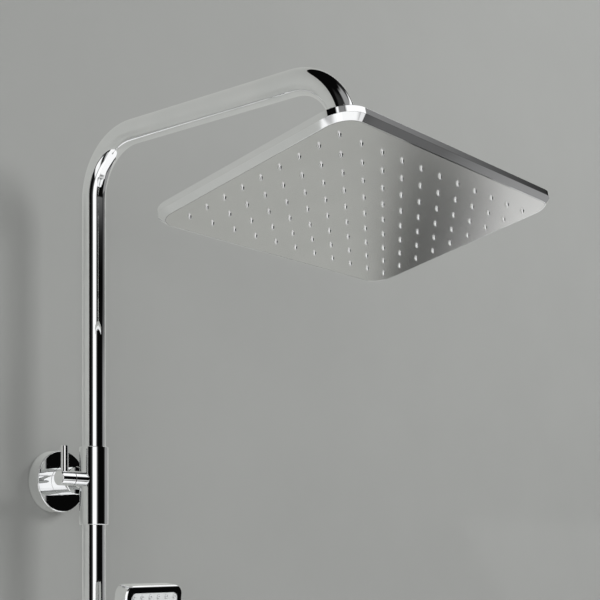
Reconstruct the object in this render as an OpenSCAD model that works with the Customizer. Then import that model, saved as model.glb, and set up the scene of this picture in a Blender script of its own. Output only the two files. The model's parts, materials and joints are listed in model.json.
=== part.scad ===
// Wall-mounted shower column: riser, fixed overhead shower, diverter and hand shower on a slider.
// Millimetres. X runs right along the wall, Y into the wall, Z up.
// The origin is the centre of the upper wall inlet, on the wall's surface.

/* [Riser] */
// Outer diameter of the riser and the arm
tube_d = 22; // [20:0.5:24]
// Wall thickness of the tubes
tube_wall = 1.5; // [1:0.1:2]
// Distance from the wall to the riser's axis
wall_gap = 60; // [56:1:70]
// Drop from the inlet to the lower bracket
bracket_drop = 600; // [560:5:900]

/* [Arm] */
// Height of the arm's axis above the inlet
arm_height = 320.4; // [280:1:480]
// Centreline radius of the bend above the riser
bend_r = 54; // [40:1:60]
// Centreline radius of the outer bend
end_bend_r = 54; // [44:1:64]
// Distance from the riser's axis to the start of the outer bend
arm_run = 246; // [220:1:320]
// Straight length after the outer bend
arm_end = 28.6; // [20:0.1:40]
// Lean of the arm's end from the vertical
end_tilt = 15.5; // [8:0.1:20]
// Tilt of the overhead shower, wall side lower
head_tilt = 12.84; // [5:0.1:20]

/* [Overhead shower] */
// Width of the overhead shower along the wall
head_w = 294; // [276:1:330]
// Depth of the overhead shower away from the wall
head_d = 194; // [182:1:220]
// Total thickness of the plate
head_t = 9; // [8.5:0.1:12]
// Width and height of the polished chamfer round the face
head_chamfer = 4.1; // [2:0.1:5]
// Corner radius of the plate's outer edge
head_corner = 22; // [12:0.5:26]
// Number of nozzles along the width
nozzle_cols = 11; // [7:1:11]
// Number of nozzles along the depth
nozzle_rows = 9; // [5:1:9]
// Nozzle spacing along the width
nozzle_pitch_w = 25.1; // [20:0.1:25.5]
// Nozzle spacing along the depth
nozzle_pitch_d = 18.2; // [14:0.1:18.6]
// Outer diameter of a nozzle
nozzle_d = 3.2; // [2.4:0.1:4]
// Height of a nozzle below the face
nozzle_h = 2.2; // [1:0.1:4]

/* [Wall bracket] */
// Diameter of the wall rosettes
rosette_d = 60; // [54:1:70]
// Depth of the wall rosettes
rosette_t = 14; // [11:0.5:15]
// Diameter of the stems
stem_d = 27; // [26:0.5:30]
// Distance from the wall to the stem's front end
stem_reach = 36; // [34:0.5:38]
// Diameter of the neck between stem and sleeve
neck_d = 17.5; // [16.5:0.5:19]

/* [Diverter] */
// Diameter of the sleeve round the riser
sleeve_d = 27.5; // [26.5:0.5:32]
// Height of the sleeve above the inlet
sleeve_up = 31; // [29:0.5:40]
// Length of the sleeve below the inlet
sleeve_down = 43; // [40:1:60]
// Diameter of the side stub and its knob
knob_d = 14; // [14:0.5:18]
// Distance from the riser's axis to the end of the stub
stub_reach = 27; // [24:0.1:30]
// Length of the rotating knob
knob_l = 16.3; // [16:0.1:24]
// Diameter of the pin lever
pin_d = 7; // [5:0.5:8]
// Height of the pin lever above the knob's axis
pin_top = 30.2; // [24:0.1:40]

/* [Slider and hand shower] */
// Drop from the inlet to the slider's centre
slider_drop = 292; // [282:1:320]
// Diameter of the slider's sleeve
slider_d = 38; // [37:1:44]
// Height of the slider's sleeve
slider_h = 44; // [40:1:60]
// Distance from the riser's axis to the holder's tilt axis
pivot_reach = 27; // [27:0.5:32]
// Distance from the tilt axis to the centre of the holder's cone
cone_reach = 24.5; // [24:0.5:30]
// Lean of the hand shower's handle, top outwards
hand_lean = 7.2; // [5:0.1:20]
// Width of the hand shower's head
hand_w = 71; // [66:0.5:80]
// Height of the hand shower's head
hand_h = 102; // [100:1:120]
// Thickness of the hand shower's head
hand_t = 16; // [15:0.5:20]
// Corner radius of the hand shower's head
hand_corner = 9; // [5:0.5:14]
// Diameter of the handle
handle_d = 23; // [22:0.5:24]
// Distance from the holder's centre up to the head, along the handle
handle_l = 93; // [90:1:130]
// Number of nozzles across the hand shower
hand_cols = 6; // [4:1:6]
// Number of nozzles down the hand shower
hand_rows = 9; // [6:1:9]
// Spacing of the hand shower's nozzles
hand_pitch = 10.2; // [8:0.1:10.5]

/* [Hidden] */
$fn = 48;

// Clearance of a fixed plug-in fit
fit = 0.05;
// Clearance between flat faces that move past each other
face_gap = 0.3;
// Small bevel on turned edges
bevel = 0.5;
// Distance by which a cut runs past the surface that it opens
past = 1;

// Half-inch pipe thread, shown as a plain cylinder
thread_r = 10.4;
thread_l = 12;
pipe_bore_r = 7;

tube_r = tube_d / 2;
tube_bore_r = tube_r - tube_wall;
socket_r = tube_r + fit;
sleeve_r = sleeve_d / 2;
stem_r = stem_d / 2;
neck_r = neck_d / 2;
knob_r = knob_d / 2;
pin_r = pin_d / 2;
rosette_r = rosette_d / 2;
riser_y = -wall_gap;

// Inside the wall
nipple_in_wall = 14;
collar_t = 4;
collar_r = 13;
nipple_front = 15;
washer_t = 1.6;
stem_back = collar_t + face_gap;
stem_rear_bore = nipple_front + washer_t + 2 * fit;
neck_plug = 13.7;
neck_start = stem_reach - neck_plug;
rosette_wall = 1.5;
foam_t = 4;
foam_w = 6;
grub_r = 2;
rear_screw_r = 1.7;
grub_hex_r = 1.1;
grub_hex_depth = 2;
o_ring_r = 0.57;
ring_past_neck = 3.7;
screw_inset = 5;
stem_ring_y = neck_start + ring_past_neck;
stem_screw_y = stem_reach - screw_inset;

// Sockets of the sleeve
core_half = 14;
thrust_t = 1;
thrust_bore_r = 8;
tube_ring_r = 0.62;
tube_ring_inset = 6;
tube_screw_inset = 6;
groove_depth = 0.8;
groove_half = 1.9;
passage_r = 3;
upper_screw_z = sleeve_up - tube_screw_inset;
lower_screw_z = -sleeve_down + tube_screw_inset;
upper_ring_z = core_half + tube_ring_inset - thrust_t;
lower_ring_z = -core_half - tube_ring_inset;
arm_foot_z = core_half + thrust_t + 2 * fit;
riser_top_z = -core_half - face_gap;

// Cartridge and spindle
cartridge_r = 5.15;
cartridge_bore_r = cartridge_r + fit;
spindle_r = 3.9;
spindle_hole_r = spindle_r + fit;
outlet_port_x = -3;
inlet_port_x = 4.2;
port_r = 1.8;
cartridge_x0 = -16;
cartridge_x1 = 8;
clip_r = 5.7;
clip_t = 1.3;
clip_inner_r = 4.3;
cartridge_ring_r = 0.3;
ring_groove_half = 0.5;
ring_clear = 0.01;
cartridge_ring_x = [-8.5, 0.6];
spindle_ring_r = 0.27;
spindle_ring_x = -12;
spindle_bore_r = 2;
spindle_groove_r = 3.1;
spindle_groove_half = 1.6;
feed_hole_r = 1.1;
side_port_r = 1.5;
knob_x1 = -stub_reach - face_gap;
knob_x0 = -stub_reach - knob_l;
pin_inset = 7.3;
pin_x = knob_x0 + pin_inset;
pin_foot_r = 2;
pin_to_spindle = 2.2;
spindle_x0 = pin_x + pin_foot_r + pin_to_spindle;
pin_seat_depth = 0.2;
pin_seat_z = sqrt(knob_r * knob_r - pin_r * pin_r) - pin_seat_depth;
knob_screw_x = (spindle_x0 + knob_x1) / 2;
knob_screw_r = 1.5;

// Lower bracket
bracket_z = -bracket_drop;
outlet_up = 25;
outlet_down = 31;
outlet_floor = 12;
outlet_z = bracket_z - outlet_down;
riser_end_z = bracket_z - outlet_floor + face_gap;
valve_l = 12;
valve_z = outlet_z - thread_l + 1;
bolt_r = 4;
bolt_thread_r = 3;
bolt_in_wall = 45;
bolt_in_stem = 19;
plug_r = 5;
plug_l = 50;

// Arm end and the overhead shower's place: t is measured up from the plate's top
ball_t = 14;
ball_r = 11;
tube_end_t = 46;
connector_r = 14;
connector_bottom_t = 30.5;
connector_neck_r = 6.5;
connector_floor_t = 33;
water_bore_r = 4.5;
fitting_plug_l = 14;
fitting_bore_r = 6.5;
strainer_t = 1.5;
limiter_l = 6;
bend_z = arm_height - bend_r;
bend_lap = 1;
bend_thinning = 0.1;
end_l = arm_run + end_bend_r * cos(end_tilt);
end_z = arm_height - end_bend_r + end_bend_r * sin(end_tilt);
drop_to_ball = arm_end + tube_end_t - ball_t;
ball_l = end_l + drop_to_ball * sin(end_tilt);
ball_z = end_z - drop_to_ball * cos(end_tilt);
top_l = ball_l + ball_t * sin(head_tilt);
top_z = ball_z - ball_t * cos(head_tilt);

// Ball joint
seat_in_r = ball_r + 0.2;
seat_out_r = ball_r + 1;
socket_ball_r = ball_r + 1.2;
seat_low = -1;
seat_high = 3.7;
seal_low = -9.2;
seal_high = -3.5;
mouth_r = 10.6;
housing_r = 17;
housing_top_t = 17.5;
flange_r = 22;
flange_t = 8.8;
ring_r = 20;
ring_top_t = 22.5;
spigot_r = 10;
spigot_l = 5;
nut_r = 15;
nut_t = 2.6;
housing_ring_r = 13.5;
housing_section_r = 1;

// Layers of the overhead shower, measured down from the plate's top
shell_top = 1.5;
lip = 0.7;
face_t = 1.5;
sheet_t = 1.2;
gasket_t = 1.2;
gasket_w = 6;
face_clear = 0.2;
face_top = head_t - face_t;
sheet_top = face_top - sheet_t;
ledge = sheet_top - gasket_t;
opening_w = head_w - 2 * (head_chamfer + lip);
opening_d = head_d - 2 * (head_chamfer + lip);
opening_corner = head_corner - head_chamfer - lip;
nozzle_r = nozzle_d / 2;
nozzle_bore_r = 0.6;
nozzle_clear = 0.15;
post_r = 4;
screw_hole_r = 1.3;
head_screw_r = 1.25;
head_screw_cap_r = 2.6;
head_screw_l = 5;
screw_steps = [[2.5, 2.5], [4.5, 3.5]];

// Slider
slider_z = -slider_drop;
slider_r = slider_d / 2;
bush_wall = 1.45;
bush_r = socket_r + bush_wall;
bush_over = 2;
slider_bore_r = bush_r + fit;
pocket_r = slider_r - 1.7;
cap_split = 8;
brake_t = 3;
brake_play = 1.2;
brake_hole_r = bush_r + face_gap + brake_play;
brake_r = pocket_r - 1.7;
button_travel = 2;
button_stem_r = 3.5;
button_r = 7;
button_t = 5;
button_wall = 1.8;
button_x0 = slider_r + button_travel + 2 * face_gap;
spring_r = 4.8;
spring_wall = 0.8;
ear_half = 9;
ear_gap = 5;
ear_r = 6.5;
ear_root_wall = 2;
ear_root_r = slider_bore_r + ear_root_wall;
pivot_r = 3;
pivot_head_r = 5;
pivot_head_t = 2;
pivot_y = riser_y - pivot_reach;
cone_y = pivot_y - cone_reach;
cone_r = 16.5;
cone_h = 28;
seat_gap = 0.3;
hose_slot = 16;

// Hand shower, with d measured up the handle from the holder's centre
handle_r = handle_d / 2;
seat_top_r = 12;
seat_bottom_r = 10.8;
seat_half = 14;
handle_end = 22;
hand_thread_end = handle_end + thread_l;
hand_bore_r = 7;
hand_feed_r = 2.5;
inlet_plug_r = 9;
inlet_plug_l = 14;
inlet_bore_r = 6;
filter_t = 2;
filter_d = -hand_thread_end + 1;
shoulder_l = 26;
shoulder_w = 50;
shoulder_t = 11;
shoulder_inset = 0.2;
hand_bezel = 6.6;
hand_face_t = 2;
hand_face_recess = 0.5;
hand_floor = 1.6;
hand_sheet_t = 1;
hand_nozzle_r = 2;
hand_nozzle_h = 1.2;
hand_nozzle_bore_r = 0.8;
hand_bevel = 2;

// Helpers: solids along each axis between two stations
module rod_z(r, a, b) {
    translate([0, 0, a]) cylinder(r = r, h = b - a);
}

module rod_y(r, a, b) {
    translate([0, b, 0]) rotate([90, 0, 0]) cylinder(r = r, h = b - a);
}

module rod_x(r, a, b) {
    translate([a, 0, 0]) rotate([0, 90, 0]) cylinder(r = r, h = b - a);
}

module sleeve_z(outer, inner, a, b) {
    difference() {
        rod_z(outer, a, b);
        rod_z(inner, a - past, b + past);
    }
}

// Cylinder with bevelled ends
module turned_z(r, a, b, c = bevel) {
    rod_z(r, a + c, b - c);
    translate([0, 0, a]) cylinder(r1 = r - c, r2 = r, h = c);
    translate([0, 0, b - c]) cylinder(r1 = r, r2 = r - c, h = c);
}

// Ring with a round section about Z
module o_ring(mean_r, section_r) {
    rotate_extrude() translate([mean_r, 0]) circle(r = section_r, $fn = 24);
}

// Local Z points out of the wall
module out_of_wall() {
    rotate([90, 0, 0]) children();
}

// Local X points out of the wall and local Y points up, from the riser's axis
module side_plane() {
    translate([0, riser_y, 0]) rotate([90, 0, -90]) children();
}

module at_riser(z = 0) {
    translate([0, riser_y, z]) children();
}

// Local Z up the arm's end, with the ball's centre at ball_t
module arm_end_frame() {
    translate([0, riser_y - ball_l, ball_z]) rotate([-end_tilt, 0, 0]) translate([0, 0, -ball_t]) children();
}

// Origin at the centre of the plate's top, local Z out of its top, and the ball's centre at ball_t too
module head_frame() {
    translate([0, riser_y - top_l, top_z]) rotate([-head_tilt, 0, 0]) children();
}

// Origin at the centre of the holder's cone, local Z up the handle
module hand_frame() {
    translate([0, cone_y, slider_z]) rotate([hand_lean, 0, 0]) children();
}

// Origin at the centre of the hand shower's face, local Z out of the face, local Y up
module hand_face_frame() {
    hand_frame() translate([0, -hand_t / 2, handle_l + hand_h / 2]) rotate([90, 0, 0]) children();
}

module rounded_plate(w, d, r, a, b) {
    translate([-w / 2, -d / 2 + r, a]) cube([w, d - 2 * r, b - a]);
    translate([-w / 2 + r, -d / 2, a]) cube([w - 2 * r, d, b - a]);
    for (x = [-1, 1], y = [-1, 1])
        translate([x * (w / 2 - r), y * (d / 2 - r), 0]) rod_z(r, a, b);
}

// Trapezoid bar along Y whose width shrinks by c on each side towards its foot
module tapered_bar(w, l, c) {
    rotate([90, 0, 0]) translate([0, 0, -l / 2]) linear_extrude(l)
        polygon([[-w / 2 + c, 0], [w / 2 - c, 0], [w / 2, c], [-w / 2, c]]);
}

// Foot of a rounded plate with an even bevel of c, from z = 0 up to c
module bevelled_foot(w, d, r, c) {
    tapered_bar(w, d - 2 * r, c);
    rotate([0, 0, 90]) tapered_bar(d, w - 2 * r, c);
    for (x = [-1, 1], y = [-1, 1])
        translate([x * (w / 2 - r), y * (d / 2 - r), 0]) cylinder(r1 = r - c, r2 = r, h = c);
}

module nozzle_grid(cols, rows, pitch_w, pitch_d) {
    for (i = [0 : cols - 1], j = [0 : rows - 1])
        translate([(i - (cols - 1) / 2) * pitch_w, (j - (rows - 1) / 2) * pitch_d, 0]) children();
}

// Screw without a head, its tip at z = 0, with a hexagon socket at the other end
module grub_screw(r, l) {
    difference() {
        rod_z(r, 0, l);
        translate([0, 0, l - grub_hex_depth]) cylinder(r = grub_hex_r, h = grub_hex_depth + past, $fn = 6);
    }
}

// Wall inlet
module inlet_nipple() {
    color("goldenrod") difference() {
        union() {
            rod_y(thread_r, -nipple_front, nipple_in_wall);
            out_of_wall() cylinder(r = collar_r, h = collar_t, $fn = 6);
        }
        rod_y(pipe_bore_r, -nipple_front - past, nipple_in_wall + past);
    }
}

module nipple_washer() {
    color("dimgray") out_of_wall()
        sleeve_z(thread_r, pipe_bore_r + fit, nipple_front + fit, nipple_front + fit + washer_t);
}

// Cup that hides the wall fitting
module rosette() {
    out_of_wall() rotate_extrude() polygon([
        [rosette_r - rosette_wall, 0],
        [rosette_r, 0],
        [rosette_r, rosette_t - 2 * bevel],
        [rosette_r - 2 * bevel, rosette_t],
        [stem_r + fit, rosette_t],
        [stem_r + fit, rosette_t - rosette_wall],
        [rosette_r - rosette_wall, rosette_t - rosette_wall]
    ]);
}

module foam_ring() {
    out_of_wall() sleeve_z(rosette_r - rosette_wall - fit, rosette_r - rosette_wall - foam_w, 0, foam_t);
}

module wall_rosette() {
    color("gainsboro") rosette();
}

module rosette_seal() {
    color("dimgray") foam_ring();
}

// Stem that carries the neck: its rear is bored for what comes out of the wall
module stem(rear_bore_r, rear_bore_l) {
    difference() {
        out_of_wall() turned_z(stem_r, stem_back, stem_reach);
        rod_y(rear_bore_r, -rear_bore_l, past - stem_back);
        rod_y(neck_r + fit, -stem_reach - past, -neck_start);
        translate([0, -stem_screw_y, -stem_r - past]) rod_z(grub_r + fit, 0, stem_r - neck_r + 2 * past);
    }
}

module inlet_stem() {
    color("gainsboro") difference() {
        stem(thread_r + fit, stem_rear_bore);
        rod_y(pipe_bore_r, -neck_start - past, -stem_back);
    }
}

module stem_screw() {
    translate([0, -stem_screw_y, -neck_r - fit]) rotate([180, 0, 0])
        grub_screw(grub_r, stem_r - neck_r - 2 * bevel);
}

module stem_o_ring() {
    color("dimgray") translate([0, -stem_ring_y, 0]) out_of_wall() o_ring(neck_r - o_ring_r, o_ring_r - fit);
}

module stem_grub_screw() {
    color("dimgray") stem_screw();
}

// Neck from the stem to the sleeve, with the groove of its ring
module neck() {
    difference() {
        rod_y(neck_r, riser_y, -neck_start);
        translate([0, -stem_ring_y, 0]) out_of_wall()
            sleeve_z(neck_r + past, neck_r - 2 * o_ring_r, -2 * o_ring_r, 2 * o_ring_r);
    }
}

// Groove for a tube's ring, cut into the wall of a socket
module tube_groove(z) {
    at_riser(z) rod_z(socket_r + 2 * tube_ring_r, -2 * tube_ring_r, 2 * tube_ring_r);
}

module tube_ring(z) {
    at_riser(z) o_ring(socket_r + tube_ring_r, tube_ring_r - fit / 2);
}

// Radial screw in the sleeve's rear, its tip at radius tip_r from the riser's axis
module rear_screw(z, tip_r) {
    at_riser(z) translate([0, tip_r, 0]) rotate([-90, 0, 0])
        grub_screw(rear_screw_r, sleeve_r - tip_r - fit);
}

module rear_screw_hole(z) {
    at_riser(z) rod_y(rear_screw_r + fit, tube_r - past, sleeve_r + past);
}

// Diverter
module diverter_body() {
    color("silver") difference() {
        union() {
            at_riser() turned_z(sleeve_r, -sleeve_down, sleeve_up);
            neck();
            at_riser() rod_x(knob_r, -stub_reach, 0);
        }
        at_riser() {
            rod_z(socket_r, core_half, sleeve_up + past);
            rod_z(socket_r, -sleeve_down - past, -core_half);
            rod_x(cartridge_bore_r, -stub_reach - past, cartridge_x1 + fit);
            rod_x(clip_r + fit, cartridge_x0 - clip_t - 2 * fit, cartridge_x0 - fit);
            translate([outlet_port_x, 0, 0]) rod_z(passage_r, -core_half - past, core_half + past);
        }
        translate([inlet_port_x, 0, 0]) rod_y(passage_r, riser_y, -neck_start + past);
        tube_groove(upper_ring_z);
        tube_groove(lower_ring_z);
        rear_screw_hole(upper_screw_z);
        rear_screw_hole(lower_screw_z);
    }
}

module cartridge_sleeve() {
    color("ivory") at_riser() difference() {
        rod_x(cartridge_r, cartridge_x0, cartridge_x1);
        rod_x(spindle_hole_r, cartridge_x0 - past, cartridge_x1 + past);
        translate([outlet_port_x, 0, 0]) rod_z(port_r, -cartridge_r - past, cartridge_r + past);
        translate([inlet_port_x, 0, 0]) rod_y(port_r, 0, cartridge_r + past);
        for (x = cartridge_ring_x) translate([x, 0, 0]) rotate([0, 90, 0])
            sleeve_z(cartridge_r + past, cartridge_r - 2 * cartridge_ring_r, -ring_groove_half, ring_groove_half);
    }
}

module cartridge_seals() {
    color("dimgray") at_riser() for (x = cartridge_ring_x)
        translate([x, 0, 0]) rotate([0, 90, 0]) o_ring(cartridge_r - cartridge_ring_r, cartridge_ring_r - ring_clear);
}

module cartridge_clip() {
    color("lightgray") at_riser() translate([cartridge_x0 - clip_t - fit, 0, 0]) rotate([0, 90, 0])
        sleeve_z(clip_r, clip_inner_r, 0, clip_t - fit);
}

module tube_seals() {
    color("dimgray") {
        tube_ring(upper_ring_z);
        tube_ring(lower_ring_z);
    }
}

module arm_thrust_washer() {
    color("ivory") at_riser() sleeve_z(tube_r, thrust_bore_r, core_half, core_half + thrust_t);
}

module tube_grub_screws() {
    color("dimgray") {
        rear_screw(upper_screw_z, tube_r - groove_depth + 3 * fit);
        rear_screw(lower_screw_z, tube_r + fit / 2);
    }
}

module lower_riser() {
    color("silver") at_riser() sleeve_z(tube_r, tube_bore_r, riser_end_z, riser_top_z);
}

// Lower bracket, which is also the hose outlet
module outlet_body() {
    color("silver") difference() {
        union() {
            at_riser(bracket_z) turned_z(sleeve_r, -outlet_down, outlet_up);
            translate([0, 0, bracket_z]) neck();
            at_riser() rod_z(thread_r, outlet_z - thread_l, outlet_z + past);
        }
        at_riser() {
            rod_z(socket_r, bracket_z - outlet_floor, bracket_z + outlet_up + past);
            rod_z(pipe_bore_r, outlet_z - thread_l - past, bracket_z);
        }
        tube_groove(bracket_z + tube_ring_inset);
        rear_screw_hole(bracket_z + outlet_up - tube_screw_inset);
    }
}

module outlet_tube_seal() {
    color("dimgray") tube_ring(bracket_z + tube_ring_inset);
}

module outlet_grub_screws() {
    color("dimgray") {
        rear_screw(bracket_z + outlet_up - tube_screw_inset, tube_r + fit / 2);
        translate([0, 0, bracket_z]) stem_screw();
    }
}

module check_valve() {
    color("ivory") at_riser() difference() {
        rod_z(pipe_bore_r - fit, valve_z, valve_z + valve_l);
        rod_z(pipe_bore_r / 2, valve_z - past, valve_z + valve_l + past);
    }
}

module lower_stem() {
    color("gainsboro") translate([0, 0, bracket_z]) stem(bolt_r + fit, bolt_in_stem + fit);
}

module lower_rosette() {
    color("gainsboro") translate([0, 0, bracket_z]) rosette();
}

module lower_rosette_seal() {
    color("dimgray") translate([0, 0, bracket_z]) foam_ring();
}

module hanger_bolt() {
    color("lightgray") translate([0, 0, bracket_z]) {
        rod_y(bolt_r, -bolt_in_stem, 0);
        rod_y(bolt_thread_r, 0, bolt_in_wall - bolt_thread_r);
        translate([0, bolt_in_wall - bolt_thread_r, 0]) rotate([-90, 0, 0])
            cylinder(r1 = bolt_thread_r, r2 = bolt_thread_r / 4, h = bolt_thread_r);
    }
}

module wall_plug() {
    color("gray") translate([0, 0, bracket_z]) difference() {
        rod_y(plug_r, 0, plug_l);
        rod_y(bolt_thread_r + fit, -past, bolt_in_wall + past);
    }
}

// Arm: round bars of radius r along its path, over is how far both ends run past the tube's
module arm_bend(r, radius, centre_l, from_angle, turn) {
    translate([centre_l, arm_height - radius, 0]) rotate([0, 0, from_angle])
        rotate_extrude(angle = turn) translate([radius, 0]) circle(r = r - bend_thinning);
}

module arm_path(r, over) {
    at_riser() rod_z(r, arm_foot_z - over, bend_z + bend_lap);
    side_plane() {
        arm_bend(r, bend_r, bend_r, 90, 90);
        arm_bend(r, end_bend_r, arm_run, end_tilt, 90 - end_tilt);
        translate([0, arm_height, 0]) rod_x(r, bend_r - bend_lap, arm_run + bend_lap);
    }
    arm_end_frame() rod_z(r, tube_end_t - over, tube_end_t + arm_end + bend_lap);
}

module overhead_arm() {
    color("silver") difference() {
        arm_path(tube_r, 0);
        arm_path(tube_bore_r, past);
        at_riser(upper_screw_z) sleeve_z(tube_r + past, tube_r - groove_depth, -groove_half, groove_half);
    }
}

module arm_end_fitting() {
    color("goldenrod") arm_end_frame() difference() {
        union() {
            rod_z(tube_bore_r - fit, tube_end_t, tube_end_t + fitting_plug_l);
            rod_z(tube_bore_r - fit, connector_floor_t + strainer_t + 2 * fit, tube_end_t + past);
            rod_z(thread_r, connector_floor_t + strainer_t + 2 * fit, tube_end_t - fit);
        }
        rod_z(fitting_bore_r, connector_floor_t, tube_end_t + fitting_plug_l + past);
    }
}

module ball_connector() {
    color("silver") arm_end_frame() difference() {
        union() {
            translate([0, 0, ball_t]) sphere(r = ball_r);
            rod_z(connector_neck_r, ball_t, connector_bottom_t + past);
            turned_z(connector_r, connector_bottom_t, tube_end_t - face_gap);
        }
        rod_z(water_bore_r, ball_t - ball_r - past, tube_end_t);
        rod_z(thread_r + fit, connector_floor_t, tube_end_t);
    }
}

module strainer_washer() {
    color("dimgray") arm_end_frame()
        sleeve_z(thread_r - fit, water_bore_r, connector_floor_t + fit, connector_floor_t + fit + strainer_t);
}

module flow_limiter() {
    color("ivory") arm_end_frame() sleeve_z(fitting_bore_r - fit, fitting_bore_r / 3,
        tube_end_t - limiter_l, tube_end_t);
}

// Slice of a hollow ball between two heights, measured from the ball's centre
module ball_zone(inner, outer, low, high) {
    head_frame() translate([0, 0, ball_t]) difference() {
        intersection() {
            sphere(r = outer);
            rod_z(outer + past, low, high);
        }
        sphere(r = inner);
    }
}

module ball_seat() {
    color("ivory") ball_zone(seat_in_r, seat_out_r, seat_low, seat_high);
}

module ball_seal() {
    color("dimgray") ball_zone(seat_in_r, seat_out_r, seal_low, seal_high);
}

module socket_housing() {
    color("silver") head_frame() difference() {
        union() {
            rod_z(housing_r, 0, housing_top_t);
            rod_z(spigot_r, -spigot_l, past);
            turned_z(flange_r, 0, flange_t);
        }
        translate([0, 0, ball_t]) sphere(r = socket_ball_r);
        rod_z(pipe_bore_r, -spigot_l - past, ball_t);
        sleeve_z(housing_ring_r + housing_section_r, housing_ring_r - housing_section_r,
            -past, 2 * housing_section_r - 4 * fit);
    }
}

module socket_ring() {
    color("silver") head_frame() difference() {
        turned_z(ring_r, flange_t + fit, ring_top_t);
        rod_z(housing_r + fit, flange_t - past, housing_top_t + fit);
        translate([0, 0, ball_t]) sphere(r = socket_ball_r);
        rod_z(mouth_r, housing_top_t, ring_top_t + past);
    }
}

module housing_seal() {
    color("dimgray") head_frame() translate([0, 0, housing_section_r - 2 * fit])
        o_ring(housing_ring_r, housing_section_r - 2 * fit);
}

module housing_nut() {
    color("goldenrod") head_frame() difference() {
        translate([0, 0, -shell_top - nut_t]) cylinder(r = nut_r, h = nut_t - fit, $fn = 6);
        rod_z(spigot_r + fit, -shell_top - nut_t - past, 0);
    }
}

// Overhead shower: the plate's own frame, z = 0 at the top and the face at -head_t
module screw_places() {
    for (s = screw_steps, x = [-1, 1], y = [-1, 1])
        translate([x * s[0] * nozzle_pitch_w, y * s[1] * nozzle_pitch_d, 0]) children();
}

module head_shell() {
    color("gainsboro") head_frame() {
        difference() {
            union() {
                rounded_plate(head_w, head_d, head_corner, head_chamfer - head_t, 0);
                translate([0, 0, -head_t]) bevelled_foot(head_w, head_d, head_corner, head_chamfer);
            }
            rounded_plate(opening_w, opening_d, opening_corner, -head_t - past, -ledge);
            rounded_plate(opening_w - 2 * gasket_w, opening_d - 2 * gasket_w, opening_corner - gasket_w,
                -ledge - past, -shell_top);
            rod_z(spigot_r + fit, -shell_top - past, past);
        }
        screw_places() sleeve_z(post_r, screw_hole_r, -sheet_top, -shell_top);
    }
}

module head_gasket() {
    color("dimgray") head_frame() difference() {
        rounded_plate(opening_w - 2 * face_clear, opening_d - 2 * face_clear, opening_corner - face_clear,
            -sheet_top, -ledge);
        rounded_plate(opening_w - 2 * gasket_w, opening_d - 2 * gasket_w, opening_corner - gasket_w,
            -sheet_top - past, -ledge + past);
    }
}

module nozzle_plate() {
    color("silver") head_frame() difference() {
        union() {
            rounded_plate(opening_w - 2 * face_clear, opening_d - 2 * face_clear, opening_corner - face_clear,
                -face_top, -sheet_top);
            nozzle_grid(nozzle_cols, nozzle_rows, nozzle_pitch_w, nozzle_pitch_d)
                rod_z(nozzle_r, -head_t - nozzle_h, -sheet_top - sheet_t / 2);
        }
        nozzle_grid(nozzle_cols, nozzle_rows, nozzle_pitch_w, nozzle_pitch_d)
            rod_z(nozzle_bore_r, -head_t - nozzle_h - past, past - sheet_top);
        screw_places() translate([0, 0, -face_top])
            cylinder(r1 = head_screw_cap_r + fit, r2 = head_screw_r + fit, h = sheet_t);
    }
}

module face_plate() {
    color("darkgray") head_frame() difference() {
        rounded_plate(opening_w - 2 * face_clear, opening_d - 2 * face_clear, opening_corner - face_clear,
            -head_t, -face_top);
        nozzle_grid(nozzle_cols, nozzle_rows, nozzle_pitch_w, nozzle_pitch_d)
            rod_z(nozzle_r + nozzle_clear, -head_t - past, past - face_top);
    }
}

module head_screws() {
    color("lightgray") head_frame() screw_places() translate([0, 0, -face_top]) {
        cylinder(r1 = head_screw_cap_r, r2 = head_screw_r, h = sheet_t);
        rod_z(head_screw_r, 0, head_screw_l);
    }
}

// Knob
module diverter_knob() {
    color("silver") at_riser() difference() {
        translate([knob_x0, 0, 0]) rotate([0, 90, 0]) turned_z(knob_r, 0, knob_x1 - knob_x0);
        rod_x(spindle_hole_r, spindle_x0 - fit, knob_x1 + past);
        translate([pin_x, 0, 0]) {
            rod_z(pin_foot_r + fit, -knob_r / 2, knob_r);
            rod_z(pin_r + fit, pin_seat_z, knob_r + past);
        }
        translate([knob_screw_x, 0, 0]) rod_z(knob_screw_r + fit, -knob_r - past, 0);
    }
}

// Lever with a thinner foot that sits in the knob
module diverter_pin() {
    color("silver") at_riser() translate([pin_x, 0, 0]) rotate_extrude() polygon([
        [0, fit - knob_r / 2],
        [pin_foot_r, fit - knob_r / 2],
        [pin_foot_r, pin_seat_z + fit],
        [pin_r, pin_seat_z + fit],
        [pin_r, pin_top - bevel / 2],
        [pin_r - bevel / 2, pin_top],
        [0, pin_top]
    ]);
}

module diverter_spindle() {
    color("goldenrod") at_riser() difference() {
        rod_x(spindle_r, spindle_x0, cartridge_x1 - face_gap);
        rod_x(spindle_bore_r, outlet_port_x - passage_r, cartridge_x1 + past);
        translate([inlet_port_x, 0, 0]) {
            rotate([0, 90, 0])
                sleeve_z(spindle_r + past, spindle_groove_r, -spindle_groove_half, spindle_groove_half);
            rod_y(feed_hole_r, -spindle_r - past, spindle_r + past);
        }
        translate([outlet_port_x, 0, 0]) rod_z(side_port_r, 0, spindle_r + past);
        translate([spindle_ring_x, 0, 0]) rotate([0, 90, 0])
            sleeve_z(spindle_r + past, spindle_r - 2 * spindle_ring_r, -ring_groove_half, ring_groove_half);
    }
}

module spindle_seals() {
    color("dimgray") at_riser() translate([spindle_ring_x, 0, 0]) rotate([0, 90, 0])
        o_ring(spindle_r - spindle_ring_r, spindle_ring_r - ring_clear);
}

module knob_grub_screw() {
    color("dimgray") at_riser() translate([knob_screw_x, 0, -spindle_r - fit]) rotate([180, 0, 0])
        grub_screw(knob_screw_r, knob_r - spindle_r - 3 * fit);
}

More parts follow.
